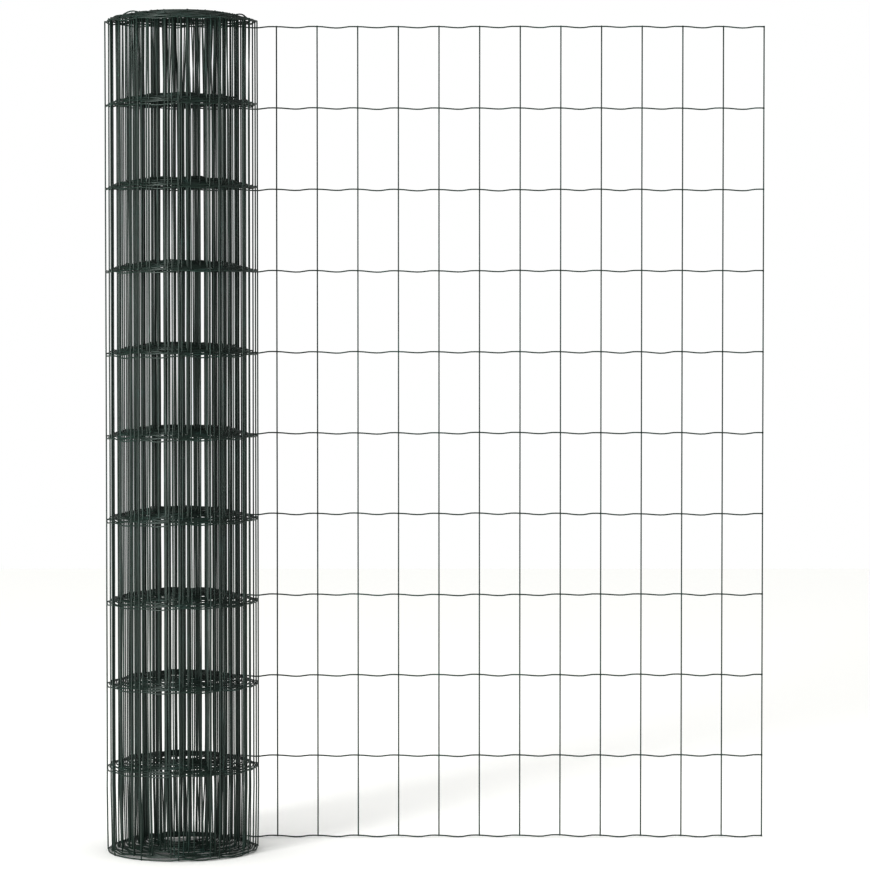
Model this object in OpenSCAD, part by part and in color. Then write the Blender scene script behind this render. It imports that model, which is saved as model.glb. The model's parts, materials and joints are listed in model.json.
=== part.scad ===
// Roll of welded wire fencing standing on its end, its free end unrolled flat.
// Millimetres. +Z is up, Z is the roll's own axis, and the floor is z = 0.
// The free end leaves the back of the roll (+Y) and runs along +X.
// Line wires run along the fence. Cross wires run up it, and are welded to the
// outer side of the line wires.

/* [Mesh] */
// Distance between two cross wires, along the fence
cross_pitch = 50.8; // [40:0.1:80]
// Distance between two line wires, up the fence
line_pitch = 101.6; // [60:0.1:150]
// Rows of openings up the fence
rows = 10; // [5:1:16]
// Diameter of a line wire over its plastic coat
line_wire_d = 1.6; // [1:0.1:3]
// Diameter of a cross wire over its plastic coat
cross_wire_d = 1.6; // [1:0.1:3]
// How far the two wires sink into each other at a weld
weld_sink = 0.5; // [0.2:0.05:0.5]
// Height of the wave that a line wire makes in each opening
crimp_height = 2.2; // [1:0.1:4]
// How far the cut end of a cross wire stands past the edge line wire
cut_end = 0.4; // [0:0.1:5]

/* [Roll] */
// Diameter of the open hole through the middle of the roll
bore_d = 52.3; // [40:0.1:120]
// Turns of mesh on the roll
turns = 25; // [10:1:40]
// Slack between one turn and the next
turn_gap = 0.08; // [0:0.01:2]
// How far the innermost turn has slipped up out of the outermost one
turn_lift = 12; // [0:1:20]
// Width of the groove between two turns, on the ends of the roll
groove_w = 0.8; // [0.4:0.1:1.2]
// Depth of the groove between two turns, on the ends of the roll
groove_depth = 3; // [1:0.5:8]

/* [Free end] */
// Length of the unrolled sheet, from the roll's axis to its last cross wire
free_length = 721.7; // [400:0.1:2000]

/* [Hidden] */
// One wave of a line wire, as [place along the opening, share of crimp_height]
CRIMP = [[0, 0.4], [0.5, -0.5], [0.85, 0.5], [1, 0.4]];
// Sides of a cross wire, with two of its flats square to the sheet
WIRE_SIDES = 8;

// The roll: a line wire with a cross wire on its outer side makes one turn.
turn_pitch = line_wire_d + cross_wire_d - weld_sink + turn_gap;
bore_r = bore_d / 2;
roll_r = bore_r + turns * turn_pitch;

// The outer turn stands on the low points of its lowest line wire.
first_line_z = line_wire_d / 2 + crimp_height / 2;
crossing_rise = CRIMP[0][1] * crimp_height;
first_crossing_z = first_line_z + crossing_rise;
last_crossing_z = first_crossing_z + rows * line_pitch;
cross_wire_bottom = first_crossing_z - line_wire_d / 2 - cut_end;
cross_wire_top = last_crossing_z + line_wire_d / 2 + cut_end;
mesh_top = max(cross_wire_top, first_line_z * 2 + rows * line_pitch);

// The free end carries on from the outer turn, just inside the roll's outer face.
cross_wire_y = roll_r - turn_gap - cross_wire_d / 2;
line_wire_y = cross_wire_y - cross_wire_d / 2 + weld_sink - line_wire_d / 2;
// Where the inner side of a line wire comes out of the roll's outer face
leaves_roll_x = sqrt(pow(roll_r, 2) - pow(line_wire_y - line_wire_d / 2, 2));
// Cross wires are spaced back from the cut end, as many as stand clear of the roll.
free_cross_wires = 1 + floor((free_length - leaves_roll_x - cross_wire_d) / cross_pitch);
sheet_end_x = free_length + cross_wire_d / 2;

$fn = 180;

// How far turn k has slipped up, from the innermost (0) to the outermost: the
// outer turns hold each other, so it falls off with the square of the turn.
function lift(k) = turn_lift * (1 - pow(k / (turns - 1), 2));

// Crests and grooves of one end of the roll, from its bore outwards, as [radius,
// height]. into is the side that the grooves are cut to: 1 is up, -1 is down.
function end_profile(z, into) = [
    for (k = [0:turns - 1])
        let (
            inside = bore_r + k * turn_pitch,
            outside = inside + turn_pitch,
            crest = z + lift(k),
            first = k == 0,
            last = k == turns - 1,
            deeper = last ? crest : into > 0 ? crest : z + lift(k + 1),
            floor_z = deeper + into * groove_depth
        )
        each concat(
            [[inside + (first ? 0 : groove_w / 2), crest]],
            [[outside - (last ? 0 : groove_w / 2), crest]],
            last ? [] : [[outside - groove_w / 2, floor_z], [outside + groove_w / 2, floor_z]]
        )
];

// The points of a list, last to first
function reversed(list) = [for (i = [len(list) - 1:-1:0]) list[i]];

// Places along the free end where a line wire bends, from the roll's axis outwards
function bend_places() =
    let (openings = ceil(free_length / cross_pitch))
    concat([0], [
        for (i = [openings:-1:1], j = [0:len(CRIMP) - 2])
            let (x = free_length - (i - CRIMP[j][0]) * cross_pitch)
            if (x > 0) x
    ], [sheet_end_x]);

// Height of a line wire's wave at a place along the free end
function wave(x) =
    let (openings = (free_length - x) / cross_pitch)
    crimp_height * lookup(ceil(openings) - openings, CRIMP);

// All the turns of mesh that are still wound, as one solid of their outer shape
module rolled_mesh() {
    color("darkslategray")
    rotate_extrude()
    polygon(concat(end_profile(0, 1), reversed(end_profile(mesh_top, -1))));
}

// One waved line wire of the free end, from the roll's axis to the cut end
module line_wire() {
    xs = bend_places();
    translate([0, line_wire_y + line_wire_d / 2, 0])
    rotate([90, 0, 0])
    linear_extrude(line_wire_d)
    polygon(concat(
        [for (x = xs) [x, wave(x) - line_wire_d / 2]],
        [for (x = reversed(xs)) [x, wave(x) + line_wire_d / 2]]
    ));
}

// One upright cross wire of the free end
module cross_wire() {
    flat_turn = 180 / WIRE_SIDES;
    translate([0, cross_wire_y, cross_wire_bottom])
    rotate([0, 0, flat_turn])
    cylinder(h = cross_wire_top - cross_wire_bottom,
             r = cross_wire_d / 2 / cos(flat_turn), $fn = WIRE_SIDES);
}

// The flat sheet: line wires trimmed to the roll's face, fused to cross wires
module unrolled_mesh() {
    color("darkolivegreen") {
        difference() {
            for (row = [0:rows])
                translate([0, 0, first_line_z + row * line_pitch])
                line_wire();
            cylinder(h = mesh_top, r = roll_r);
        }
        for (i = [0:free_cross_wires - 1])
            translate([free_length - i * cross_pitch, 0, 0])
            cross_wire();
    }
}

rolled_mesh();
unrolled_mesh();
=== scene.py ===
"""Looks of a roll of welded wire fencing that stands on its end, its free end unrolled flat.

Line wires run along the fence and cross wires run up it. A place along the fence is its
distance from the cut end: first over the flat free end, then round the turns of the roll,
from the outermost in. Lengths are in metres.
"""

import json
import math
from types import SimpleNamespace

import bpy
import numpy as np
from bpy.props import FloatProperty, FloatVectorProperty, IntProperty, PointerProperty
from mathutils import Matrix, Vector


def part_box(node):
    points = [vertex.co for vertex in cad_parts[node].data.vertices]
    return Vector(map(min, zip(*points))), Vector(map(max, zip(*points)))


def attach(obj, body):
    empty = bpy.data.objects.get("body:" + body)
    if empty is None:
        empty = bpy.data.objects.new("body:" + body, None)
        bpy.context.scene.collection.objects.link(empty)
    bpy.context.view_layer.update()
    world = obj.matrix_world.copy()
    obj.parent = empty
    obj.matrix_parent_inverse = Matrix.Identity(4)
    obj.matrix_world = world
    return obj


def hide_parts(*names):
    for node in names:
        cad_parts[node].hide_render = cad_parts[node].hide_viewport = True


bl_info = {
    "name": "Welded Fencing Roll",
    "version": (1, 0, 0),
    "blender": (4, 5, 0),
    "location": "View3D > Sidebar > Fencing",
    "description": "Winds a roll of PVC-coated welded fencing and sets it in a white studio",
    "category": "Add Mesh",
}

MM = 0.001
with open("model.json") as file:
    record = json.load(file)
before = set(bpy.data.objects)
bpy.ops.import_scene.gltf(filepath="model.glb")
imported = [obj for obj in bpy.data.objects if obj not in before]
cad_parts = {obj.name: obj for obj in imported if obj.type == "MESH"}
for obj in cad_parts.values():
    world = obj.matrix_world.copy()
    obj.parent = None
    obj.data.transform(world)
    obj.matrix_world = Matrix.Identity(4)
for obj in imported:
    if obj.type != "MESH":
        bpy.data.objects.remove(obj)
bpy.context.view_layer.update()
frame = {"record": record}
ROLL_LOW, ROLL_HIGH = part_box("rolled_mesh")
SHEET_LOW, SHEET_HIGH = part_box("unrolled_mesh")
BORE = next(m for m in frame["record"]["mounts"] if m["name"] == "bore")

# One wave of a line wire, as (place along the opening, share of the crimp's height)
CRIMP = np.array([(0, 0.4), (0.5, -0.5), (0.85, 0.5), (1, 0.4)])
WIRE_SIDES = 8
STEPS_PER_OPENING = 9  # of a line wire, between two cross wires
STEPS_PER_ROW = 4  # of a cross wire, between two line wires
# Share of the way from bend to bend that is turned into a sine, which rounds the bends
BEND_ROUNDING = 0.6
LEAST_CRIMP = 0.65  # height of the flattest crimp, as a share of the full one
# Openings in which the top line wire has been knocked up, as (turns wound there, share of
# the kink's height)
KINKS = ((3.38, 1.0), (3.67, 0.9), (2.63, 0.6), (2.35, 0.5), (1.05, 0.4), (4.90, 0.5))
WANDER_LENGTHS = np.geomspace(0.9, 0.1, 8)  # of the sines that add up to an unevenness
HEAVE_DRAW, STRAY_DRAW = 50, 100  # second numbers of their seeds; a line wire's is its row
WOUND_RIPPLE = 1.5  # how much more a line wire ripples on the roll than on the free end
FREE_SWAY = 0.4  # share of the sway that cross wires have on the free end
LOOSE_SLIP = 1 / 8  # of the end slip, that each cross wire has by itself
PASSED_ON = 0.1  # share of the end slip that reaches the next line wire
SWELL = 0.25  # how far the roll swells above its pinched foot, as a share of the pinch
CUT_CLEARANCE = 0.05 * MM  # from the cut ends of the line wires to the frame's end
FLOOR_CLEARANCE = 0.1 * MM  # least gap from the feet of the cross wires to the floor
# Rings of a cross wire's rounded end, as (share of the cap's height, share of the wire)
CAP_RINGS = ((0, 0.45), (0.3, 0.8))
BEAD_LATITUDES = (-50, 0, 50)  # degrees, of the rings round a bead
BEAD_DEPTH = 0.8  # half the depth of a bead, as a share of the way between its wires' axes
RUBS_PER_METRE = 38.0  # patches of rubbed coat are about 26 mm across


def linear(colour):
    """An sRGB hex colour as linear red, green and blue."""
    value = np.array([int(colour[i : i + 2], 16) for i in (1, 3, 5)]) / 255
    return np.where(value <= 0.04045, value / 12.92, ((value + 0.055) / 1.055) ** 2.4).tolist()


# ------------------------------------------------------------------ settings


def length(name, description, default):
    """A length in millimetres, as a property."""
    return FloatProperty(
        name=name, description=description, default=default * MM, subtype="DISTANCE", unit="LENGTH"
    )


def colour(name, description, default):
    """An sRGB hex colour, as a property."""
    return FloatVectorProperty(
        name=name, description=description, default=linear(default), subtype="COLOR", min=0, max=1
    )


class MeshSizes(bpy.types.PropertyGroup):
    """The welded mesh as it is made, before it is wound."""

    rows: IntProperty(name="Rows", description="Rows of openings up the fence", default=10)
    cross_pitch: length("Cross wire spacing", "From one cross wire to the next", 50.8)
    wire_d: length("Wire", "Diameter of a wire over its coat", 1.6)
    core_d: length("Core", "Diameter of the steel inside the coat", 1.3)
    weld_sink: length("Weld sink", "How far two welded wires sink into each other", 0.5)
    bead_w: length("Weld bead", "Width of the fillet of coat at a weld", 2.4)
    crimp: length("Crimp", "Height of the wave that a line wire makes in each opening", 2.2)
    cut_end: length("Cut end", "How far a cross wire stands past the edge line wire", 0.4)


class RollSizes(bpy.types.PropertyGroup):
    """How tightly and how evenly the mesh is wound."""

    turn_pitch: length("Turn spacing", "Distance from one turn to the next", 2.7824)
    heave: length("Heave", "How far the turns heave up and down, all rows as one", 1.0)
    ripple: length("Ripple", "How far each line wire wanders by itself", 0.3)
    sway: length("Sway", "How far a cross wire strays to either side at a weld", 0.1)
    slip: length("Slip", "How far cross wires slip together, from row to row", 0.3)
    end_slip: length("End slip", "How far cross wires slip round the ends of the roll", 2.8)
    pinch: length("Pinch", "How much tighter the roll is wound at its foot", 1.0)
    kink: length("Kink", "How far the top line wire is knocked up where it is bent", 6.5)
    seed: IntProperty(name="Seed", description="What the unevenness is drawn from", default=671)


class CoatLook(bpy.types.PropertyGroup):
    """The PVC coat, and the steel that shows where it is cut."""

    green: colour("Moss green", "Colour of the PVC coat", "#12271F")
    faded: colour("Faded green", "Colour of the coat where it is scuffed", "#28403A")
    steel: colour("Cut steel", "Colour of the core at a cut end", "#8E9192")
    roughness: FloatProperty(
        name="Roughness", description="Roughness of the coat", default=0.36, min=0, max=1
    )


class StudioLook(bpy.types.PropertyGroup):
    """The white studio round the roll."""

    floor: colour("Floor", "Colour of the floor", "#F6F6F4")
    fill: FloatProperty(name="Fill", description="Strength of the light from all round", default=0.6)
    top: FloatProperty(name="Top light", description="Strength of the light from above", default=1.42)
    key_power: FloatProperty(
        name="Key light", description="Power of the light at the left", default=185, unit="POWER"
    )


class FencingSettings(bpy.types.PropertyGroup):
    """All that a user can change."""

    mesh: PointerProperty(type=MeshSizes)
    roll: PointerProperty(type=RollSizes)
    coat: PointerProperty(type=CoatLook)
    studio: PointerProperty(type=StudioLook)


# ------------------------------------------------------------------ the fence's own shape


def fence(context):
    """The sizes and places that all the wires share, from the settings and the frame."""
    mesh, roll = context.scene.fencing.mesh, context.scene.fencing.roll
    half = mesh.wire_d / 2
    f = SimpleNamespace(mesh=mesh, roll=roll, half=half)
    # From an edge line wire's axis to the cut ends of the cross wires
    f.past = half + mesh.cut_end
    # From a line wire's axis to that of a cross wire welded to it
    f.weld_gap = mesh.wire_d - mesh.weld_sink
    f.outer_r = ROLL_HIGH.y - half - f.weld_gap
    f.inner_r = BORE["dims"]["r_mm"] * MM + half
    f.free = SHEET_HIGH.x - half
    f.lift = ROLL_HIGH.z - SHEET_HIGH.z
    f.first_z = half + mesh.crimp / 2
    crossing = f.first_z + CRIMP[0, 1] * mesh.crimp
    f.line_pitch = (SHEET_HIGH.z - mesh.cut_end - half - crossing) / mesh.rows
    wound = math.pi * (f.outer_r**2 - f.inner_r**2) / roll.turn_pitch
    f.cross_wires = 1 + int((f.free + wound) / mesh.cross_pitch)
    f.places = np.arange(f.cross_wires) * mesh.cross_pitch
    return f


def turned(f, place):
    """Angle wound at a place along the fence: 0 on the free end, then where the length of
    an Archimedean spiral, outer radius times angle less pitch times angle squared over four
    pi, reaches what is left of the place."""
    wound = np.maximum(place - f.free, 0)
    slope = f.roll.turn_pitch / (4 * math.pi)
    return (f.outer_r - np.sqrt(f.outer_r**2 - 4 * slope * wound)) / (2 * slope)


def radius_at(f, place):
    """Radius of the Archimedean spiral at a place: it falls by one pitch each turn."""
    return f.outer_r - f.roll.turn_pitch * turned(f, place) / (2 * math.pi)


def unevenness(f, place):
    """Share of the roll's unevenness at a place: none on the free end, rising in a straight
    line to all of it once a length of one outer radius is wound."""
    return np.clip((place - f.free) / f.outer_r, 0, 1)


def plan(f, place, outward):
    """Points of the fence seen from above, and the directions that face out of it there.

    The free end is a straight line at the roll's back, and the roll is a spiral. outward is
    added to the radius."""
    angle = turned(f, place)
    out = np.stack([-np.sin(angle), np.cos(angle)], axis=-1)
    points = out * (radius_at(f, place) + outward)[..., None]
    points[..., 0] += np.maximum(f.free - place, 0)
    return points, out


def raised(flat, z):
    """Points or directions seen from above, with their heights added."""
    z = np.broadcast_to(z, flat.shape[:-1])
    return np.concatenate([flat, z[..., None]], axis=-1)


def risen(f, place):
    """How far a place has slipped up out of the roll. The outer turns hold each other, so it
    falls off with the square of the distance from the bore. The free end hasn't risen."""
    share = np.clip((radius_at(f, place) - f.inner_r) / (f.outer_r - f.inner_r), 0, 1)
    return f.lift * (1 - share**2)


def wander(rng, place, reach):
    """A smooth unevenness along the fence: the sum of sines of many lengths, each as high as
    the root of its length, from random starts."""
    starts = rng.uniform(0, 2 * math.pi, len(WANDER_LENGTHS))
    heights = reach * np.sqrt(WANDER_LENGTHS / WANDER_LENGTHS.sum())
    angles = 2 * math.pi * place[..., None] / WANDER_LENGTHS + starts
    return (np.sin(angles) * heights).sum(-1)


def wave(share):
    """One crimp: from bend to bend it goes a straight line less a part of a sine, which rounds
    the bends."""
    bend = np.clip(np.searchsorted(CRIMP[:, 0], share, side="right") - 1, 0, len(CRIMP) - 2)
    low, high = CRIMP[bend], CRIMP[bend + 1]
    t = (share - low[..., 0]) / (high[..., 0] - low[..., 0])
    t = t - BEND_ROUNDING * np.sin(2 * math.pi * t) / (2 * math.pi)
    return low[..., 1] + (high[..., 1] - low[..., 1]) * t


def line_height(f, row, place):
    """Height of a line wire: its row, its crimp and its own ripple, and the heave and the rise
    of its turn, which all rows share. The top one also has its kinks. The wire stays inside
    the frame, with room above it for the cut ends of the cross wires."""
    rng = np.random.default_rng([f.roll.seed, row])
    opening = place / f.mesh.cross_pitch
    sizes = rng.uniform(LEAST_CRIMP, 1.0, f.cross_wires + 2)
    crimp = f.mesh.crimp * np.interp(opening, np.arange(f.cross_wires + 2), sizes)
    uneven = unevenness(f, place)
    ripple = wander(rng, place, f.roll.ripple) * (1 + WOUND_RIPPLE * uneven)
    heave_rng = np.random.default_rng([f.roll.seed, HEAVE_DRAW])
    heave = wander(heave_rng, place, f.roll.heave) * uneven
    z = f.first_z + row * f.line_pitch + crimp * wave(1 - opening % 1) + ripple + heave
    z = np.clip(z, SHEET_LOW.z + f.half, SHEET_HIGH.z - f.past) + risen(f, place)
    if row == f.mesh.rows:
        z = np.minimum(z + kinked(f, place), ROLL_HIGH.z - f.past)
    return z


def kinked(f, place):
    """How far the top line wire is knocked up: from weld to weld, each kink is an arch as high
    as the square of a sine."""
    opening = place / f.mesh.cross_pitch
    wound = turned(f, f.places) / (2 * math.pi)
    height = np.zeros(f.cross_wires)
    for turns, share in KINKS:
        height[np.searchsorted(wound, turns) - 1] = f.roll.kink * share
    which = np.clip(opening.astype(int), 0, f.cross_wires - 1)
    return height[which] * np.sin(math.pi * opening) ** 2


def strays(f):
    """How far each cross wire strays along the fence at each line wire: a little sway, a slip
    that neighbours share, and a longer one at the two ends of the roll, a part of which
    reaches the next line wire."""
    rng = np.random.default_rng([f.roll.seed, STRAY_DRAW])
    sway = rng.normal(0, f.roll.sway / 2, (f.cross_wires, f.mesh.rows + 1))
    sway += rng.normal(0, f.roll.sway / 2, (f.cross_wires, 1))
    uneven = unevenness(f, f.places)
    sway *= np.maximum(uneven, FREE_SWAY)[:, None]
    for row in range(1, f.mesh.rows):
        sway[:, row] += wander(rng, f.places, f.roll.slip) * uneven
    for end, following in ((0, 1), (-1, -2)):
        slip = wander(rng, f.places, f.roll.end_slip)
        slip += rng.normal(0, f.roll.end_slip * LOOSE_SLIP, f.cross_wires)
        sway[:, end] += slip * uneven
        sway[:, following] += slip * uneven * PASSED_ON
    return sway


def between(knots, share):
    """A smooth curve through evenly spaced knots, by Catmull and Rom's cubic: at each step of
    the way its slope at a knot is half the difference of that knot's neighbours."""
    knots = np.concatenate([knots[:, :1], knots, knots[:, -1:]], axis=1)
    at = share * (knots.shape[1] - 3)
    step = np.clip(at.astype(int), 0, knots.shape[1] - 4)
    t = at - step
    a, b, c, d = (knots[:, step + k] for k in range(4))
    square, cube = 2 * a - 5 * b + 4 * c - d, 3 * b - a - 3 * c + d
    return 0.5 * (2 * b + (c - a) * t + square * t**2 + cube * t**3)


def squeeze(f, place, share):
    """How far a place moves towards the axis, at a share of the fence's height: in the lowest
    row the turns are wound tighter by the square of the way down, less a swell that is the
    square of a sine over the row's upper half. It comes in over a quarter turn, as three
    squares less two cubes of that way, so the free end keeps its line."""
    below = np.clip(1 - share * f.mesh.rows, 0, 1)
    swell = SWELL * np.sin(2 * math.pi * np.clip(below, 0, 0.5)) ** 2
    wound = np.clip(turned(f, place) / (math.pi / 2), 0, 1)
    wound = wound * wound * (3 - 2 * wound)
    return f.roll.pinch * (below**2 - swell) * wound


# ------------------------------------------------------------------ meshes


def tubes(paths, across, radii):
    """Round wires along paths, an array of wires by stations by 3.

    At each station a circle is drawn square to the path: across is its first direction and
    the path's direction crossed with that is its second. radii is the radius of each station.
    Returns the points, the quads of the sides, and the two end faces of each wire."""
    wires, stations = paths.shape[:2]
    along = np.gradient(paths, axis=1)
    # A wire's first and last two stations may lie in one place, which gives no direction.
    along[:, 0], along[:, -1] = along[:, 1], along[:, -2]
    along /= np.linalg.norm(along, axis=-1, keepdims=True)
    second = np.cross(along, across)
    second /= np.linalg.norm(second, axis=-1, keepdims=True)
    first = np.cross(second, along)
    angle = 2 * math.pi * (np.arange(WIRE_SIDES) + 0.5) / WIRE_SIDES
    ring = np.cos(angle)[:, None] * first[..., None, :]
    ring = ring + np.sin(angle)[:, None] * second[..., None, :]
    points = paths[..., None, :] + ring * radii[:, None, None]
    index = np.arange(wires * stations * WIRE_SIDES).reshape(wires, stations, WIRE_SIDES)
    after = np.roll(index, -1, axis=2)
    quads = np.stack([index[:, :-1], after[:, :-1], after[:, 1:], index[:, 1:]], axis=-1)
    ends = np.stack([index[:, 0, ::-1], index[:, -1]], axis=1)
    return points.reshape(-1, 3), quads.reshape(-1, 4), ends.reshape(-1, WIRE_SIDES)


def balls(centres, axes):
    """Flattened balls at many centres. axes holds three directions for each, as long as the
    ball's half sizes: a point is the centre plus the cosine of latitude times the circle in
    the first two axes, plus the sine of latitude times the third."""
    longitude = 2 * math.pi * np.arange(WIRE_SIDES) / WIRE_SIDES
    lat, lon = np.meshgrid(np.radians(BEAD_LATITUDES), longitude, indexing="ij")
    unit = np.stack([np.cos(lat) * np.cos(lon), np.cos(lat) * np.sin(lon), np.sin(lat)], axis=-1)
    unit = np.concatenate([unit.reshape(-1, 3), [[0, 0, -1], [0, 0, 1]]])
    points = centres[:, None] + unit @ axes
    grid = np.arange(lat.size).reshape(lat.shape)
    after = np.roll(grid, -1, axis=1)
    quads = np.stack([grid[:-1], after[:-1], after[1:], grid[1:]], axis=-1).reshape(-1, 4)
    south, north = lat.size, lat.size + 1
    caps = np.concatenate([
        np.stack([after[0], grid[0], np.full(WIRE_SIDES, south)], axis=-1),
        np.stack([grid[-1], after[-1], np.full(WIRE_SIDES, north)], axis=-1),
    ])
    first = np.arange(len(centres))[:, None, None] * len(unit)
    return points.reshape(-1, 3), (quads + first).reshape(-1, 4), (caps + first).reshape(-1, 3)


def mesh_object(name, points, faces, smooth, slots, materials):
    """A mesh object from its points and groups of faces. Each group is an array of corner
    indices with its own smoothness and material slot."""
    data = bpy.data.meshes.new(name)
    counts = [len(group) for group in faces]
    sizes = np.repeat([group.shape[1] for group in faces], counts)
    corners = np.concatenate([group.ravel() for group in faces]).astype(np.int32)
    data.vertices.add(len(points))
    data.vertices.foreach_set("co", points.astype(np.float32).ravel())
    data.loops.add(len(corners))
    data.loops.foreach_set("vertex_index", corners)
    data.polygons.add(len(sizes))
    data.polygons.foreach_set("loop_start", (np.cumsum(sizes) - sizes).astype(np.int32))
    data.polygons.foreach_set("use_smooth", np.repeat(smooth, counts))
    for material in materials:
        data.materials.append(material)
    data.polygons.foreach_set("material_index", np.repeat(slots, counts).astype(np.int32))
    data.update(calc_edges=True)
    piece = bpy.data.objects.new(name, data)
    bpy.context.scene.collection.objects.link(piece)
    return piece


def finish_piece(piece):
    """The piece rides on the roll and stands for both plain solids."""
    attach(piece, "root")
    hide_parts("rolled_mesh", "unrolled_mesh")


# ------------------------------------------------------------------ materials


def node(tree, kind, settings=None, **links):
    """Adds a node with its settings. Each link is an output or a value for one input, named
    with underscores for spaces, or by an underscore and its number."""
    made = tree.nodes.new(kind)
    for key, value in (settings or {}).items():
        setattr(made, key, value)
    for key, value in links.items():
        socket = made.inputs[int(key[1:]) if key[1:].isdigit() else key.replace("_", " ")]
        if isinstance(value, bpy.types.NodeSocket):
            tree.links.new(value, socket)
        else:
            socket.default_value = value
    return made


def new_material(name):
    """An empty material and its node tree."""
    material = bpy.data.materials.new(name)
    material.use_nodes = True
    material.node_tree.nodes.clear()
    return material, material.node_tree


def pvc_coat(look):
    """PVC, melted on to the wire in a powder bath: a satin skin, a little uneven in thickness,
    that dulls and pales where turns have rubbed on each other."""
    material, tree = new_material("pvc_dip_coat")
    place = node(tree, "ShaderNodeTexCoord").outputs["Object"]
    rub = node(tree, "ShaderNodeTexNoise", Vector=place, Scale=RUBS_PER_METRE, Detail=3.0, Roughness=0.6)
    worn = node(
        tree, "ShaderNodeMapRange", {"interpolation_type": "SMOOTHSTEP"},
        Value=rub.outputs["Fac"], From_Min=0.5, From_Max=0.78,
    )
    tint = node(
        tree, "ShaderNodeMix", {"data_type": "RGBA"},
        _0=worn.outputs["Result"], _6=(*look.green, 1), _7=(*look.faded, 1),
    )
    rough = node(
        tree, "ShaderNodeMapRange",
        Value=rub.outputs["Fac"], To_Min=look.roughness - 0.08, To_Max=look.roughness + 0.16,
    )
    # The skin of a dip coat ripples about once in a millimetre.
    skin = node(tree, "ShaderNodeTexNoise", Vector=place, Scale=1 / (1.0 * MM), Detail=1.0)
    bump = node(tree, "ShaderNodeBump", Height=skin.outputs["Fac"], Strength=0.25, Distance=0.05 * MM)
    shader = node(
        tree, "ShaderNodeBsdfPrincipled",
        Base_Color=tint.outputs[2], Roughness=rough.outputs["Result"], IOR=1.53,
        Normal=bump.outputs["Normal"],
    )
    node(tree, "ShaderNodeOutputMaterial", Surface=shader.outputs["BSDF"])
    return material


def cut_steel(look):
    """Low-carbon steel, sheared: a dull bright face, crossed by the shear's own lines."""
    material, tree = new_material("sheared_steel_core")
    place = node(tree, "ShaderNodeTexCoord").outputs["Object"]
    lines = node(tree, "ShaderNodeTexNoise", Vector=place, Scale=1 / (0.2 * MM), Detail=2.0)
    rough = node(tree, "ShaderNodeMapRange", Value=lines.outputs["Fac"], To_Min=0.3, To_Max=0.6)
    shader = node(
        tree, "ShaderNodeBsdfPrincipled",
        Base_Color=(*look.steel, 1), Metallic=1.0, Roughness=rough.outputs["Result"],
    )
    node(tree, "ShaderNodeOutputMaterial", Surface=shader.outputs["BSDF"])
    return material


def studio_floor(look):
    """Matt white paint on a smooth floor."""
    material, tree = new_material("matt_white_floor")
    shader = node(tree, "ShaderNodeBsdfPrincipled", Base_Color=(*look.floor, 1), Roughness=0.9)
    node(tree, "ShaderNodeOutputMaterial", Surface=shader.outputs["BSDF"])
    return material


def coat_of(context):
    """The coat that all the pieces share, made the first time it is asked for."""
    return bpy.data.materials.get("pvc_dip_coat") or pvc_coat(context.scene.fencing.coat)


# ------------------------------------------------------------------ operators


class FENCING_OT_line_wires(bpy.types.Operator):
    """Winds the line wires, each one wire from the cut end to the middle of the roll"""

    bl_idname = "fencing.line_wires"
    bl_label = "Line Wires"

    def execute(self, context):
        f = fence(context)
        materials = [coat_of(context), cut_steel(context.scene.fencing.coat)]
        steps = (f.cross_wires - 1) * STEPS_PER_OPENING + 1
        place = np.linspace(-f.half + CUT_CLEARANCE, f.places[-1] + f.half, steps)
        # Both ends are cut square, and show the core: the last ring is drawn in to its edge.
        place = place[[0, *range(steps), -1]]
        radii = np.full(steps + 2, f.half)
        radii[[0, -1]] = f.mesh.core_d / 2
        for row in range(f.mesh.rows + 1):
            points, out = plan(f, place, -squeeze(f, place, row / f.mesh.rows))
            path = raised(points, line_height(f, row, place))
            points, quads, ends = tubes(path[None], raised(out, 0.0)[None], radii)
            name = f"line_wire_{row + 1:02d}"
            piece = mesh_object(name, points, [quads, ends], [True, False], [0, 1], materials)
            finish_piece(piece)
        return {"FINISHED"}


class FENCING_OT_cross_wires(bpy.types.Operator):
    """Stands the cross wires on the outer side of the line wires"""

    bl_idname = "fencing.cross_wires"
    bl_label = "Cross Wires"

    def execute(self, context):
        f = fence(context)
        share = np.linspace(0, 1, f.mesh.rows * STEPS_PER_ROW + 1)
        place = np.maximum(f.places[:, None] + between(strays(f), share), 0)
        points, out = plan(f, place, f.weld_gap - squeeze(f, place, share))
        bottom = line_height(f, 0, f.places) - f.past
        bottom = np.maximum(bottom, SHEET_LOW.z + FLOOR_CLEARANCE)
        top = line_height(f, f.mesh.rows, f.places) + f.past
        z = bottom[:, None] + (top - bottom)[:, None] * share
        points, quads, ends = tubes(*self.rounded(f, raised(points, z), raised(out, 0.0)))
        materials = [coat_of(context)]
        piece = mesh_object("cross_wires", points, [quads, ends], [True, True], [0, 0], materials)
        finish_piece(piece)
        return {"FINISHED"}

    def rounded(self, f, path, across):
        """The wires' paths, directions and radii, with each end closed by the coat in a round
        cap, a quarter of the wire high, of two smaller rings and the first whole one."""
        cap = np.array([0, 0, f.half / 2])
        heights = [height for height, _ in CAP_RINGS] + [1]
        foot = [path[:, :1] + cap * height for height in heights]
        head = [path[:, -1:] - cap * height for height in reversed(heights)]
        path = np.concatenate([*foot, path[:, 1:-1], *head], axis=1)
        first, last = [across[:, :1]] * len(foot), [across[:, -1:]] * len(head)
        across = np.concatenate([*first, across[:, 1:-1], *last], axis=1)
        radii = np.full(path.shape[1], f.half)
        for ring, (_, width) in enumerate(CAP_RINGS):
            radii[[ring, -1 - ring]] = f.half * width
        return path, across, radii


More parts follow.
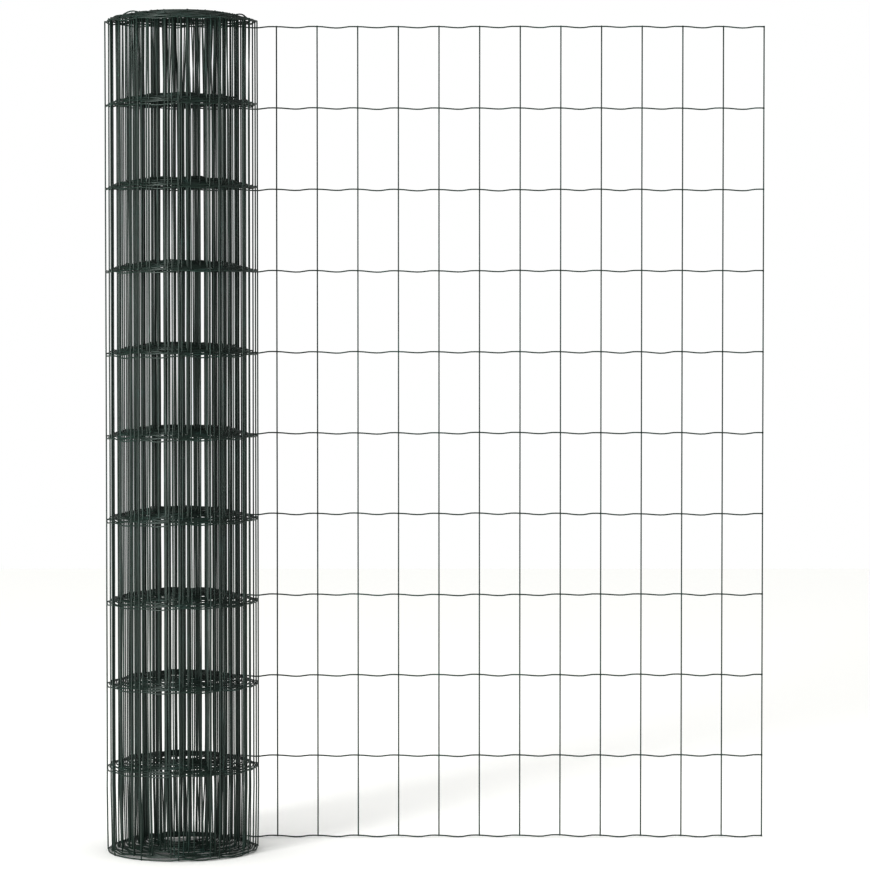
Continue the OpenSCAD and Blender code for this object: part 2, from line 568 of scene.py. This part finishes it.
class FENCING_OT_weld_beads(bpy.types.Operator):
    """Fills the corners of every weld with a bead of coat"""

    bl_idname = "fencing.weld_beads"
    bl_label = "Weld Beads"

    def execute(self, context):
        f = fence(context)
        rows = np.arange(f.mesh.rows + 1)
        wide = f.mesh.bead_w / 2
        # The first beads stop at the cut end, and none hangs below the floor.
        place = np.maximum(f.places + strays(f).T, wide - f.half)
        inward = squeeze(f, place, rows[:, None] / f.mesh.rows)
        points, out = plan(f, place, f.weld_gap / 2 - inward)
        z = np.stack([line_height(f, row, place[row]) for row in rows])
        z = np.maximum(z, SHEET_LOW.z + wide)
        centres = raised(points, z).reshape(-1, 3)
        outward = raised(out, 0.0).reshape(-1, 3)
        upward = np.broadcast_to([0.0, 0.0, 1.0], outward.shape)
        along = np.cross(outward, upward)
        deep = f.weld_gap * BEAD_DEPTH
        axes = np.stack([along * wide, upward * -wide, outward * deep], axis=1)
        points, quads, caps = balls(centres, axes)
        materials = [coat_of(context)]
        piece = mesh_object("weld_beads", points, [quads, caps], [True, True], [0, 0], materials)
        finish_piece(piece)
        return {"FINISHED"}


class FENCING_OT_studio(bpy.types.Operator):
    """Lays the white floor, lights the roll and sets up the camera"""

    bl_idname = "fencing.studio"
    bl_label = "White Studio"

    def execute(self, context):
        look = context.scene.fencing.studio
        self.floor(look)
        self.world(context.scene, look)
        self.lights(context.scene, look)
        self.camera(context.scene)
        # Thin wires keep their darkness against the white when the tones are a little harder.
        context.scene.view_settings.view_transform = "Standard"
        context.scene.view_settings.gamma = 0.75
        return {"FINISHED"}

    def floor(self, look):
        """A square of floor, far wider than the roll."""
        reach = 4.0
        x, y = np.meshgrid([-reach, reach], [-reach, reach])
        points = np.stack([x.ravel(), y.ravel(), np.full(4, ROLL_LOW.z)], axis=1)
        square = np.array([[0, 1, 3, 2]])
        floor = mesh_object("floor", points, [square], [False], [0], [studio_floor(look)])

    def world(self, scene, look):
        """A backdrop that the camera sees as white, and that lights the wires less than that."""
        world = bpy.data.worlds.new("white_studio")
        world.use_nodes = True
        tree = world.node_tree
        tree.nodes.clear()
        seen = node(tree, "ShaderNodeLightPath").outputs["Is Camera Ray"]
        strength = node(tree, "ShaderNodeMapRange", Value=seen, To_Min=look.fill, To_Max=1.0)
        light = node(
            tree, "ShaderNodeBackground", Color=(1, 1, 1, 1), Strength=strength.outputs["Result"]
        )
        node(tree, "ShaderNodeOutputWorld", Surface=light.outputs["Background"])
        scene.world = world

    def lights(self, scene, look):
        """A wide soft light above, and a tall soft box in front of the roll at its left."""
        top = bpy.data.lights.new("top_light", "SUN")
        top.energy = look.top
        top.angle = math.radians(90)
        scene.collection.objects.link(bpy.data.objects.new("top_light", top))
        box = bpy.data.lights.new("key_light", "AREA")
        box.energy = look.key_power
        box.shape = "RECTANGLE"
        box.size, box.size_y = 0.9, 1.6
        lamp = bpy.data.objects.new("key_light", box)
        lamp.location = (-1.9, -3.0, 0.8)
        target = Vector((0, 0, (ROLL_LOW.z + ROLL_HIGH.z) / 2))
        lamp.rotation_euler = (target - lamp.location).to_track_quat("-Z", "Y").to_euler()
        scene.collection.objects.link(lamp)

    def camera(self, scene):
        """A long lens, a little above the middle of the fence, that looks slightly down."""
        looks_down = 2.138  # degrees
        data = bpy.data.cameras.new("camera")
        data.sensor_width = 36.0
        data.lens = 148.35
        data.shift_y = -0.05
        camera = bpy.data.objects.new("camera", data)
        camera.location = (0.3103, -4.4, 0.73)
        camera.rotation_euler = (math.radians(90 - looks_down), 0, 0)
        scene.collection.objects.link(camera)
        scene.camera = camera


class FENCING_PT_panel(bpy.types.Panel):
    """Makes the roll piece by piece"""

    bl_label = "Fencing Roll"
    bl_idname = "FENCING_PT_panel"
    bl_space_type = "VIEW_3D"
    bl_region_type = "UI"
    bl_category = "Fencing"

    def draw(self, context):
        settings = context.scene.fencing
        for group in (settings.mesh, settings.roll, settings.coat, settings.studio):
            box = self.layout.box()
            for name in group.bl_rna.properties.keys():
                if name not in ("rna_type", "name"):
                    box.prop(group, name)
        for operator in OPERATORS:
            self.layout.operator(operator.bl_idname)


OPERATORS = (
    FENCING_OT_studio,
    FENCING_OT_line_wires,
    FENCING_OT_cross_wires,
    FENCING_OT_weld_beads,
)
CLASSES = (MeshSizes, RollSizes, CoatLook, StudioLook, FencingSettings, *OPERATORS, FENCING_PT_panel)


def register():
    """Adds the classes, and the settings to every scene."""
    for cls in CLASSES:
        bpy.utils.register_class(cls)
    bpy.types.Scene.fencing = PointerProperty(type=FencingSettings)


def unregister():
    """Takes the settings and the classes away again."""
    del bpy.types.Scene.fencing
    for cls in reversed(CLASSES):
        bpy.utils.unregister_class(cls)


def main():
    """Makes every piece."""
    register()
    bpy.ops.fencing.studio()
    bpy.ops.fencing.line_wires()
    bpy.ops.fencing.cross_wires()
    bpy.ops.fencing.weld_beads()


if __name__ == "__main__":
    main()
